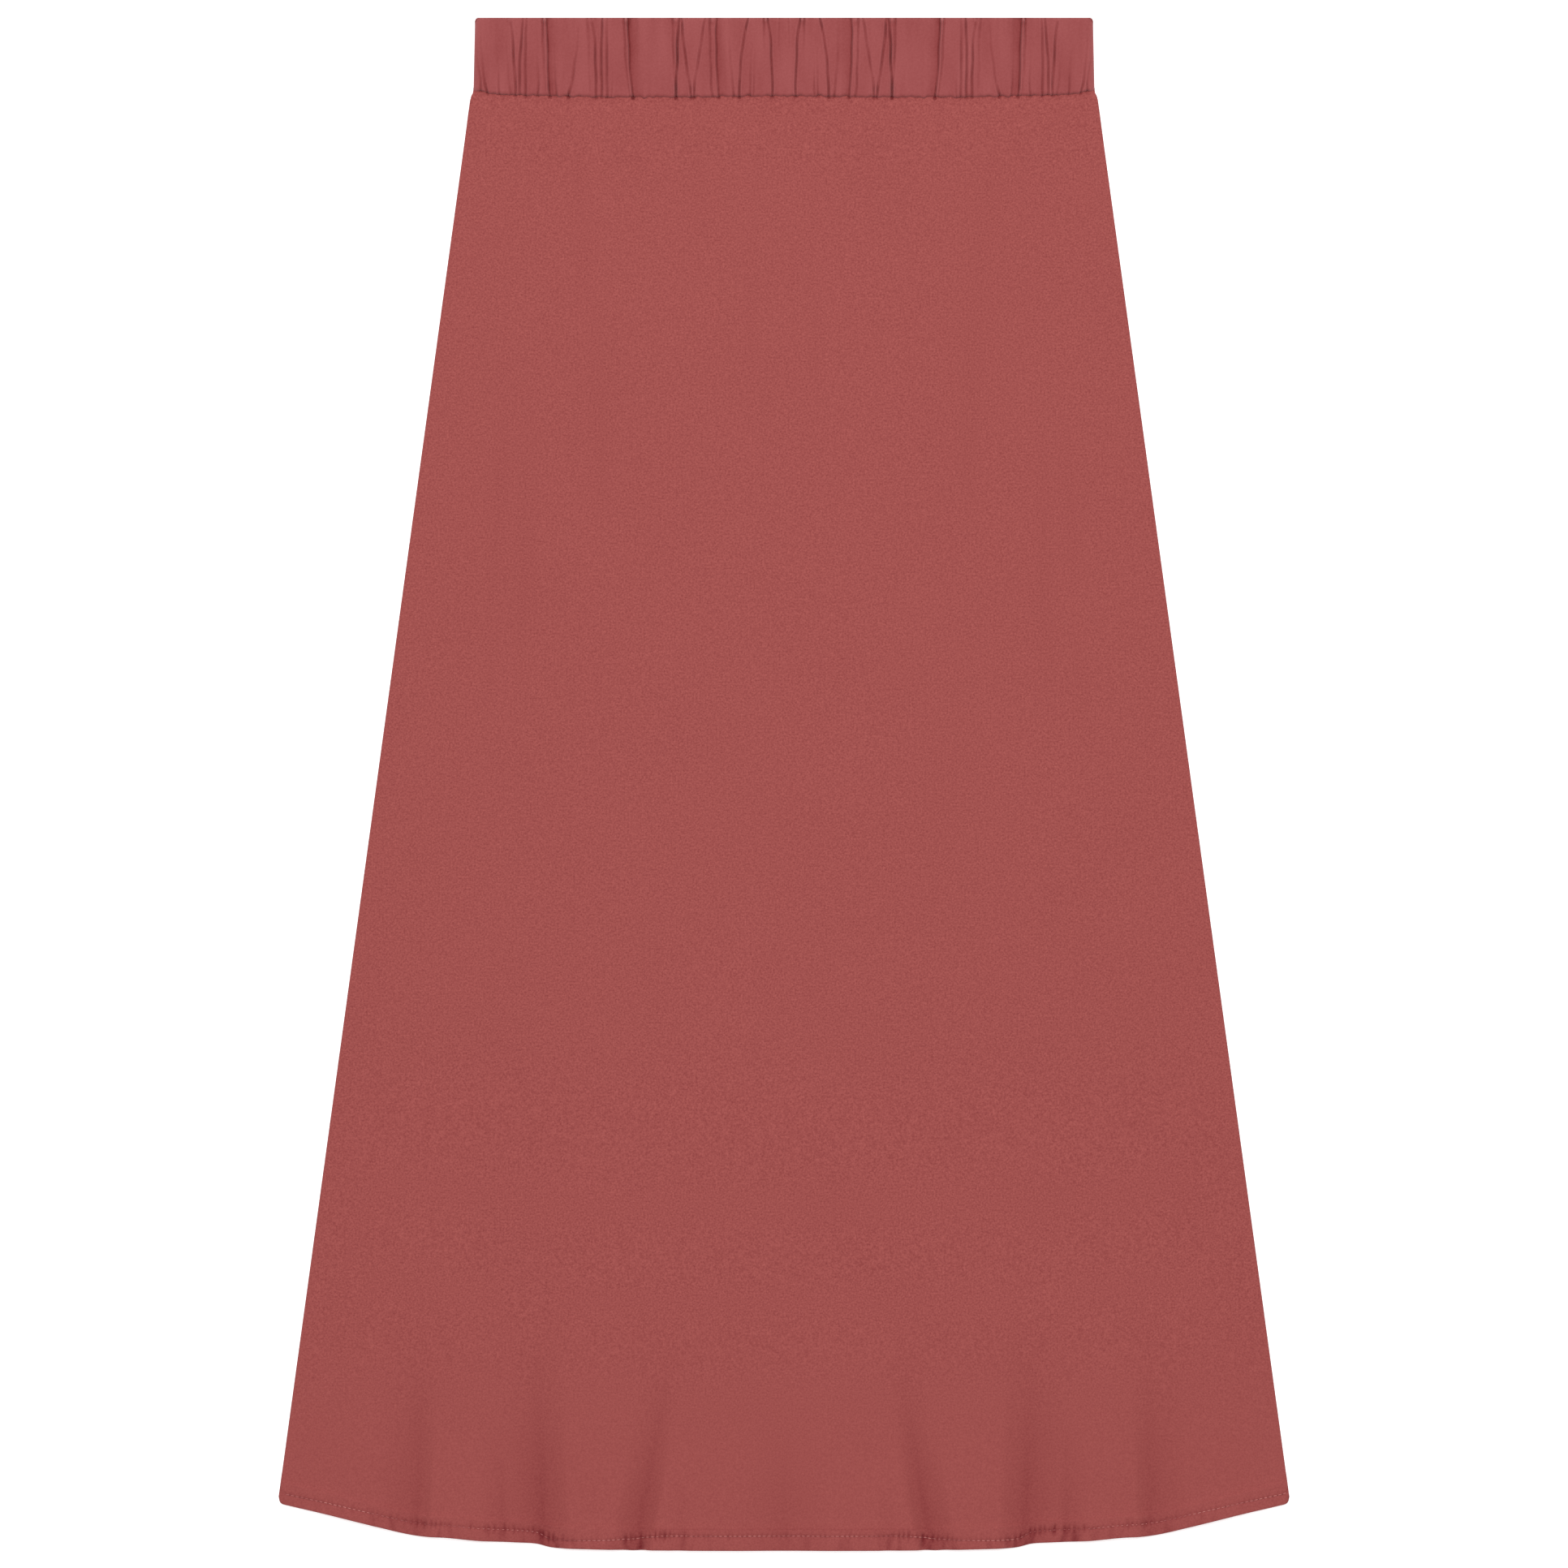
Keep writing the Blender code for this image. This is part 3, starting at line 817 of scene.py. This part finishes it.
def crepe(name, pale_and_highlight_colour, deep_and_shade_colour, pebble, pebble_tone, pebble_height):
    """Matt crepe; its hex colours also paint highlight and shade. Pebble is the grain's size in
    metres.
    """
    material = new_material(name, {
        "Roughness": 0.82, "Specular IOR Level": 0.3,
        "Sheen Weight": 0.10, "Sheen Roughness": 0.5})
    tree = material.node_tree
    place = add_node(tree, "ShaderNodeTexCoord").outputs["Object"]
    # Each point's painted shade: colour darkened in folds and lightened on ridges
    painted_shade = add_node(tree, "ShaderNodeAttribute", attribute_name="painted_shade").outputs["Fac"]
    grain = add_node(tree, "ShaderNodeTexNoise", {
        "Vector": place, "Scale": 1.0 / pebble, "Detail": 2.0, "Roughness": 0.7}).outputs["Fac"]
    mottle = add_node(tree, "ShaderNodeTexNoise", {
        "Vector": place, "Scale": 1.0 / MOTTLE_SIZE, "Detail": 2.0}).outputs["Fac"]
    up_the_cloth = add_node(tree, "ShaderNodeSeparateXYZ", {"Vector": place}).outputs["Y"]
    pressing = add_node(tree, "ShaderNodeMapRange", {
        "Value": up_the_cloth, "From Min": PRESSED_Y, "From Max": UNPRESSED_Y,
        "To Min": PRESSED_SHARE, "To Max": 1.0})
    pebbles = add_node(tree, "ShaderNodeMath", {
        0: centred(tree, grain, pebble_tone), 1: pressing.outputs[0]}, operation="MULTIPLY")
    pebbled = add_node(tree, "ShaderNodeMath", {0: painted_shade, 1: pebbles.outputs[0]})
    mottled = add_node(tree, "ShaderNodeMath", {
        0: pebbled.outputs[0], 1: centred(tree, mottle, MOTTLE_TONE)})
    colour = add_node(tree, "ShaderNodeMix", {
        MIX_FACTOR: mottled.outputs[0],
        MIX_LIGHT: linear(pale_and_highlight_colour),
        MIX_DEEP: linear(deep_and_shade_colour)}, data_type="RGBA")
    bump = add_node(tree, "ShaderNodeBump", {
        "Height": grain, "Distance": pebble_height, "Strength": 1.0})
    tree.links.new(colour.outputs[MIX_RESULT], shader_input(material, "Base Color"))
    tree.links.new(bump.outputs["Normal"], shader_input(material, "Normal"))
    return material


# The pale colour is also the painted highlight, and the deep one the painted shade
panel_crepe = crepe(
    "matt_rose_crepe", "#B25C57", "#70171D",
    pebble=1.0 * MM, pebble_tone=1.2, pebble_height=0.12 * MM)
casing_crepe = crepe(
    "smooth_rose_crepe", "#AA5A5A", "#731716",
    pebble=1.2 * MM, pebble_tone=0.35, pebble_height=0.03 * MM)
print("materials:", panel_crepe.name, casing_crepe.name)

# %% [markdown]
# The front panel is the piece that shows most. Its outer face follows the flutes, the
# folds and the puckers, it rises towards the thicker waistband, and it is rumpled
# just under the seam. Its hem is turned up inside, so it is thicker there and leaves
# a faint step where the turned-up edge lies. Its colour is painted darker with the
# depth of a fold, as painted shade.

# %% Form of the front panel
GAP = 0.15 * MM
CLOTH = 1.0 * MM
HEM_CLOTH = 1.5 * MM
LEAST_CLOTH = 0.5 * MM
HEM_BAND_STEP = 1.6 * MM
HEM_ROUND = 1.3 * MM
HEM_OUTER_DROP = HEM_CLOTH / 2
HEM_UNDER_RISE = 0.4 * HEM_CLOTH
SIDE_ROUND = 3.0 * MM
SIDE_DROP = 0.6 * MM
WAIST_RISE = 2.5 * MM
WAIST_RISE_REACH = 38 * MM
SEAM_DIP = 0.3 * MM
SEAM_DIP_REACH = 1.0 * MM
SEAM_RUMPLE = 1.1 * MM
SEAM_RUMPLE_WIDTH = 4.5 * MM
SEAM_RUMPLE_REACH = 5.0 * MM
SEAM_RUMPLE_LAYER = 23.0
RIPPLE = 0.10 * MM
RIPPLE_SIZE = 70 * MM
# Painted shade: in the flutes' valleys, in small dents and grooves, and in storage folds
VALLEY_PAINTED_SHADE = 0.25
DEPTH_PAINTED_SHADE = 0.36 / MM
STORAGE_PAINTED_SHADE = 0.10 / MM


def hem_thickness(up):
    """Thickness of a panel, greater where its hem is turned up."""
    return mix(HEM_CLOTH, CLOTH, ease((up - TURN_UP) / HEM_BAND_STEP))


def front_heights(x, y, share, up, creases):
    """Under and outer height of the front panel, and the painted shade of its cloth."""
    below_seam = max(PANEL_HEIGHT - up, 0.0)
    thickness = hem_thickness(up)
    lift, valley_shade = flare(x, y, up)
    under = thickness + GAP + lift
    storage = storage_fold_depth(abs(x), y)
    small = pucker_depth(x, share, up) + hem_grooves(x, share, up)
    if below_seam < NOTCH_REACH:
        small += notch_depth(abs(x), below_seam, creases)
    outer = under + thickness - storage - small
    outer += WAIST_RISE * ease(1.0 - below_seam / WAIST_RISE_REACH)
    outer += RIPPLE * noise.noise(Vector((x, y, 0.0)) / RIPPLE_SIZE)
    rumple_place = Vector((x / SEAM_RUMPLE_WIDTH, 0.0, SEAM_RUMPLE_LAYER))
    rumple = SEAM_RUMPLE * noise.noise(rumple_place)
    outer += rumple * ease(1.0 - below_seam / SEAM_RUMPLE_REACH)
    outer -= rounded(below_seam, SEAM_DIP_REACH, SEAM_DIP)
    outer -= rounded(body_half_width(y) - abs(x), SIDE_ROUND, SIDE_DROP)
    outer -= rounded(up, HEM_ROUND, HEM_OUTER_DROP)
    under += rounded(up, HEM_ROUND, HEM_UNDER_RISE)
    # Painted shade: darker colour in valleys, puckers, grooves, notches and storage folds
    painted_shade = FLAT_PAINTED_SHADE + VALLEY_PAINTED_SHADE * valley_shade
    painted_shade += DEPTH_PAINTED_SHADE * small + STORAGE_PAINTED_SHADE * storage
    return under, max(outer, under + LEAST_CLOTH), painted_shade


middle_height = front_heights(0.0, 0.0, 0.0, PANEL_HEIGHT / 2, seam_creases)[1]
print("front's height at its middle in mm:", round(middle_height / MM, 2))

# %% [markdown]
# The form is now sampled into rows of points, close together at the hem and under
# the seam. Past the waist seam a narrow tongue runs on under the waistband, so that
# no light comes through the seam, and its colour is painted a little darker, as
# shade in the seam.

# %% Cloth of the front panel
TONGUE = 1.2 * MM
# Its two faces lie to either side of the plane where the waistband's halves meet
TONGUE_UNDER = casing_low.z - 0.5 * MM
TONGUE_OUTER = casing_low.z + 1.0 * MM
# Painted shade on the tongue, which darkens the line of the waist seam
TONGUE_PAINTED_SHADE = 0.20
FRONT_COLUMNS = 700
# Height above the hem and the spacing of the rows from there on, in mm
FRONT_ROWS = ((0, 0.3), (1.2, 0.7), (13.8, 5), (40, 15), (160, 40), (757, 9), (801, 0.6))

front_rows = []
for up in spaced(FRONT_ROWS, PANEL_HEIGHT) + [PANEL_HEIGHT + TONGUE]:
    row = []
    for share in shares_across(FRONT_COLUMNS):
        x, y = panel_point(share, up)
        under, outer, painted_shade = front_heights(x, y, share, up, seam_creases)
        if up > PANEL_HEIGHT:
            y += TONGUE
            under = TONGUE_UNDER
            outer = TONGUE_OUTER
            # The tongue's colour is painted darker, as shade at the seam
            painted_shade += TONGUE_PAINTED_SHADE
        row.append((x, y, under, outer, painted_shade))
    front_rows.append(row)

front_cloth = cloth_slab("front_panel_cloth", front_rows, panel_crepe)

# %% [markdown]
# The back panel lies flat on the table, so its underside is level but for the groove
# of its topstitch. Its own edges round upwards to meet the front panel's, which makes
# the side seams read as sewn, and its turned-up hem thickens its inner side.

# %% Back panel
BACK_COLUMNS = 300
BACK_EDGE_RISE = 0.35 * MM
BACK_EDGE_ROUND = 1.6 * MM
BACK_GROOVE = 0.38 * MM
BACK_ROWS = ((0, 0.4), (2, 0.7), (10, 5), (20, 30), (780, 8), (804, 0.5))
BACK_SHORTFALL = 0.3 * MM


def back_under(x, y, share, up):
    """Under height of the back panel, with its round edges and its topstitch's groove."""
    edge = min(body_half_width(y) - abs(x), up)
    stitching = groove(up - stitch_up(share), STITCH_GROOVE_RUN, BACK_GROOVE)
    return max(rounded(edge, BACK_EDGE_ROUND, BACK_EDGE_RISE), stitching)


back_rows = []
for up in spaced(BACK_ROWS, PANEL_HEIGHT - BACK_SHORTFALL):
    row = []
    for share in shares_across(BACK_COLUMNS):
        x, y = panel_point(share, up)
        under = back_under(x, y, share, up)
        outer = hem_thickness(up) - rounded(up, HEM_ROUND, HEM_UNDER_RISE)
        row.append((x, y, under, outer, FLAT_PAINTED_SHADE))
    back_rows.append(row)

back_cloth = cloth_slab("back_panel_cloth", back_rows, panel_crepe)

# %% [markdown]
# The waistband's front half is a soft roll: round at the top fold, tucked in at the
# seam and turned down at the sides. Besides the creases in the table, the cloth
# billows a little between them, and short fine wrinkles show most at the seam and
# at the fold, where the elastic's edge holds the cloth.

# %% Form of the waistband's front
HALF_FOLD = 171.4 * MM
HALF_SEAM = 172.2 * MM
CORNER_ROUND = 2.2 * MM
SCALLOP_SHARE = 0.40
SEAM_OVERLAP = 0.5 * MM
SEAM_WOBBLE = 1.1 * MM
SEAM_WOBBLE_WIDTH = 3.6 * MM
SEAM_WOBBLE_LAYER = 11.0
BILLOW = 0.60 * MM
BILLOW_WIDTH = 9.0 * MM
BILLOW_STEP = 1.5
BILLOW_LAYER = 3.0
WRINKLE = 0.36 * MM
WRINKLE_WIDTH = 2.3 * MM
WRINKLE_STEP = 2.0
WRINKLE_LAYER = 7.0
WRINKLE_LEAST = 0.25


def casing_half_width(height):
    """Half the waistband's width at a height, 0 at the seam and 1 at the fold."""
    return mix(HALF_SEAM, HALF_FOLD, height)


def casing_place(share, height, creases):
    """Place of a waistband point; the seam edge draws in at each crease."""
    half_width = casing_half_width(height)
    x = share * half_width
    top = WAIST_FOLD_Y - rounded(half_width - abs(x), CORNER_ROUND, CORNER_ROUND)
    wobble_place = Vector((abs(x) / SEAM_WOBBLE_WIDTH, 0.0, SEAM_WOBBLE_LAYER))
    wobble = SEAM_WOBBLE * noise.noise(wobble_place)
    scallop = SCALLOP_SHARE * crease_depth(abs(x), creases)
    bottom = waist_seam(share) - SEAM_OVERLAP + wobble + scallop
    return x, mix(bottom, top, height)


def soft_relief(x, height):
    """Billows between the creases, and fine wrinkles near the seam and the fold."""
    billow = noise.noise(Vector((x / BILLOW_WIDTH, BILLOW_STEP * height, BILLOW_LAYER)))
    wrinkle = noise.noise(Vector((x / WRINKLE_WIDTH, WRINKLE_STEP * height, WRINKLE_LAYER)))
    near_edges = (2.0 * height - 1.0) ** 2
    return BILLOW * billow + WRINKLE * wrinkle * mix(WRINKLE_LEAST, 1.0, near_edges)


print("waistband's width at the fold in mm:", round(2.0 * casing_half_width(1.0) / MM, 1))

# %% [markdown]
# Columns are densest here, nearly four to a millimetre, because a crease is only two
# or three millimetres wide. They are even, so that every crease meets several; a
# finer mesh along the creases alone would save faces, but would have to follow every
# row of the table.

# %% Cloth of the waistband's front
CASING_COLUMNS = 1300
CASING_ROWS = ((0, 0.25), (1, 0.5), (3, 1.2), (6, 3.2), (37, 1.2), (39.5, 0.6), (42, 0.27))
# The crown lies under the solid's top, which leaves room for lips and billows
CASING_CROWN = casing_high.z - 0.3 * MM
LEAST_CASING = 0.9 * MM
FOLD_ROUND = 2.8 * MM
FOLD_DROP = 2.2 * MM
FOLD_UNDER_SHARE = 0.75
SEAM_ROUND = 2.0 * MM
SEAM_DROP = 2.2 * MM
SEAM_UNDER_SHARE = 0.3
SIDE_TURN = 4.0 * MM
SIDE_TURN_DROP = 3.3 * MM
# Painted shade in sunk cloth, painted highlight on raised cloth, and a painted highlight along
# the sides
RELIEF_PAINTED_SHADE = 0.22 / MM
SIDE_PAINTED_HIGHLIGHT = -0.10
SIDE_HIGHLIGHT_REACH = 7.0 * MM

casing_rows = []
for above_seam in spaced(CASING_ROWS, CASING_DEPTH):
    height = above_seam / CASING_DEPTH
    below_fold = CASING_DEPTH - above_seam
    creases = gathers_at(height)
    fold_roll = rounded(below_fold, FOLD_ROUND, FOLD_DROP)
    seam_roll = rounded(above_seam, SEAM_ROUND, SEAM_DROP)
    row = []
    for share in shares_across(CASING_COLUMNS):
        x, y = casing_place(share, height, seam_creases)
        inward = casing_half_width(height) - abs(x)
        raised = lip_height(abs(x), creases) + soft_relief(x, height)
        sunk = crease_depth(abs(x), creases) - raised - tuck_height(abs(x), below_fold)
        under = casing_low.z + FOLD_UNDER_SHARE * fold_roll + SEAM_UNDER_SHARE * seam_roll
        outer = CASING_CROWN - max(fold_roll, seam_roll) - sunk
        outer -= rounded(inward, SIDE_TURN, SIDE_TURN_DROP)
        # Painted shade in creases, tuck rings and hollows; painted highlight on lips, beads,
        # billows and the sides
        painted_shade = FLAT_PAINTED_SHADE + RELIEF_PAINTED_SHADE * sunk
        painted_shade += SIDE_PAINTED_HIGHLIGHT * ease(1.0 - inward / SIDE_HIGHLIGHT_REACH)
        row.append((x, y, under, max(outer, under + LEAST_CASING), painted_shade))
    casing_rows.append(row)

waistband_front = cloth_slab("waistband_front_cloth", casing_rows, casing_crepe)

# %% [markdown]
# The waistband's back half rests on the table. Its gathers show on the underside as
# grooves that rise from the table, in the same kind of uneven spacing but not at the
# same places, and its sides turn up to meet the front half.

# %% Back of the waistband
BACK_CASING_COLUMNS = 620
BACK_CASING_ROWS = ((0, 0.4), (1.2, 1.2), (5, 3), (38, 1.2), (41.6, 0.4))
# The back half ends just under the plane where the front half begins
BACK_CASING_TOP = casing_low.z - 0.3 * MM
BACK_GROOVE_SHARE = 0.6
BACK_SIDE_RISE = 1.7 * MM
BACK_FOLD_RISE = 0.9 * MM
BACK_FOLD_SHARE = 0.6

back_casing_rows = []
for above_seam in spaced(BACK_CASING_ROWS, CASING_DEPTH):
    height = above_seam / CASING_DEPTH
    creases = gathers_at(1.0 - height)
    fold_roll = rounded(CASING_DEPTH - above_seam, FOLD_ROUND, BACK_FOLD_RISE)
    half_width = casing_half_width(height)
    row = []
    for share in shares_across(BACK_CASING_COLUMNS):
        x = share * half_width
        y = mix(waist_seam(share), WAIST_FOLD_Y, height)
        y -= height * rounded(half_width - abs(x), CORNER_ROUND, CORNER_ROUND)
        gather_rise = BACK_GROOVE_SHARE * crease_depth(half_width - abs(x), creases)
        side_roll = rounded(half_width - abs(x), SIDE_TURN, BACK_SIDE_RISE)
        under = min(max(gather_rise, side_roll, fold_roll), BACK_CASING_TOP - LEAST_CASING)
        outer = BACK_CASING_TOP - BACK_FOLD_SHARE * fold_roll
        # Painted shade along the grooves of the gathers
        painted_shade = FLAT_PAINTED_SHADE + RELIEF_PAINTED_SHADE * gather_rise
        row.append((x, y, under, max(outer, under + LEAST_CLOTH), painted_shade))
    back_casing_rows.append(row)

waistband_back = cloth_slab("waistband_back_cloth", back_casing_rows, casing_crepe)

# %% [markdown]
# The hem is held by a topstitch of matching polyester thread, a little glossier than
# the cloth. The thread is paler along some lengths than along others, so a broad
# noise mixes two colours. At each needle hole a darker dot between two stitches is
# painted shade.

# %% Thread and needle holes
THREAD_PATCH = 25 * MM

thread = new_material("polyester_thread", {"Roughness": 0.55, "Sheen Weight": 0.2})
thread_place = add_node(thread.node_tree, "ShaderNodeTexCoord").outputs["Object"]
thread_patches = add_node(thread.node_tree, "ShaderNodeTexNoise", {
    "Vector": thread_place, "Scale": 1.0 / THREAD_PATCH, "Detail": 1.0})
thread_share = add_node(thread.node_tree, "ShaderNodeMapRange", {
    "Value": thread_patches.outputs["Fac"], "From Min": 0.32, "From Max": 0.58})
thread_colour = add_node(thread.node_tree, "ShaderNodeMix", {
    MIX_FACTOR: thread_share.outputs[0],
    MIX_LIGHT: linear("#9E4647"),
    MIX_DEEP: linear("#D0827D")}, data_type="RGBA")
thread.node_tree.links.new(
    thread_colour.outputs[MIX_RESULT], shader_input(thread, "Base Color"))

# A dark colour that is painted shade at each needle hole
needle_hole_shade = new_material(
    "needle_hole_painted_shade", {"Base Color": linear("#8C423F"), "Roughness": 0.9})
print("materials:", thread.name, needle_hole_shade.name)

# %% [markdown]
# The stitches follow the line that is set out above, one machine pitch apart. The
# line is walked in small steps, and a stitch is set down each time that a pitch has
# been walked, so the spacing stays even where the hem curves.

# %% Places of the stitches
HEM_SAMPLES = 4000
SIDE_MARGIN_SHARE = 0.992


def stitch_points(height_at):
    """Middle points and directions of the stitches, evenly spaced along the hem."""
    line = []
    for place in shares_across(HEM_SAMPLES):
        share = SIDE_MARGIN_SHARE * place
        up = stitch_up(share)
        x, y = panel_point(share, up)
        line.append((x, y, share, up))
    stitches = []
    travelled = 0.0
    for start, end in zip(line, line[1:]):
        travelled += sqrt((end[0] - start[0]) ** 2 + (end[1] - start[1]) ** 2)
        if travelled >= STITCH_PITCH:
            travelled -= STITCH_PITCH
            middle = Vector((end[0], end[1], height_at(*end)))
            before = Vector((start[0], start[1], height_at(*start)))
            stitches.append((middle, (middle - before).normalized()))
    return stitches


def front_stitch_height(x, y, share, up):
    """Height of the front's outer face, where a stitch lies."""
    return front_heights(x, y, share, up, seam_creases)[1]


front_line = stitch_points(front_stitch_height)
back_line = stitch_points(back_under)
print("stitches on the front and the back:", len(front_line), len(back_line))

# %% [markdown]
# Each stitch is a small stretched ball that sinks into the cloth, and a flatter one
# in a darker colour, a painted shade, marks the needle hole in the gap before the
# next. One ball is repeated along the line into a single mesh a row; a dashed texture
# would lie flat and not catch the light.

# %% Rows of stitches
STITCH_SIZE = Vector((2.1, 0.36, 0.36)) * MM
HOLE_SHADE_SIZE = Vector((0.62, 0.62, 0.30)) * MM
THREAD_PROUD = Vector((0.0, 0.0, 0.08)) * MM
THREAD_FINISH = 0
HOLE_SHADE_FINISH = 1


def ball_parts():
    """Points and faces of a ball that is one unit across."""
    ball = bmesh.new()
    bmesh.ops.create_uvsphere(ball, u_segments=8, v_segments=6, radius=0.5)
    ball.verts.index_update()
    points = [point.co.copy() for point in ball.verts]
    faces = [[point.index for point in face.verts] for face in ball.faces]
    ball.free()
    return points, faces


ball_points, ball_faces = ball_parts()


def stitch_row(name, stitches, lift):
    """All stitches of one row, and the dots of painted shade at their needle holes, as one mesh.
    """
    points = []
    faces = []
    finishes = []
    for middle, direction in stitches:
        turn = direction.to_track_quat("X", "Z").to_matrix()
        gap = middle + direction * STITCH_PITCH / 2
        # The second ball is a flat dot of painted shade at the needle hole
        balls = (
            (STITCH_SIZE, middle + lift, THREAD_FINISH),
            (HOLE_SHADE_SIZE, gap, HOLE_SHADE_FINISH),
        )
        for size, place, finish in balls:
            faces += [[len(points) + corner for corner in face] for face in ball_faces]
            points += [place + turn @ (size * point) for point in ball_points]
            finishes += [finish] * len(ball_faces)
    mesh = bpy.data.meshes.new(name)
    mesh.from_pydata(points, [], faces)
    mesh.polygons.foreach_set("material_index", finishes)
    mesh.shade_smooth()
    mesh.materials.append(thread)
    mesh.materials.append(needle_hole_shade)
    return add_object(name, mesh)


front_stitches = stitch_row("hem_topstitch_front", front_line, THREAD_PROUD)
back_stitches = stitch_row("hem_topstitch_back", back_line, -THREAD_PROUD)
print("points in a ball:", len(ball_points))

# %% [markdown]
# Every piece now rides on the skirt's one body, and each cloth piece stands for its
# solid, which is hidden. The panels were cut as trapezoids, and the waistband strips
# longer than they lie, because the elastic gathers them; the front panel's area as
# it lies is printed.

# %% Pieces, nodes and flat sizes
def flat_area(rows):
    """Area of a cloth as it lies, from its rows of points."""
    area = 0.0
    for lower, upper in zip(rows, rows[1:]):
        width = (lower[-1][0] - lower[0][0] + upper[-1][0] - upper[0][0]) / 2
        middle = len(lower) // 2
        area += width * (upper[middle][1] - lower[middle][1])
    return area


pieces = (
    (front_cloth, "front_panel", "panel_crepe"),
    (back_cloth, "back_panel", "panel_crepe"),
    (waistband_front, "waistband_front", "waistband_crepe"),
    (waistband_back, "waistband_back", "waistband_crepe"),
)
for piece, node, finish in pieces:
    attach(piece, "root")
    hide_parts(node)
for stitches in (front_stitches, back_stitches):
    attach(stitches, "root")

print("panel area in square metres:", round(flat_area(front_rows), 4))
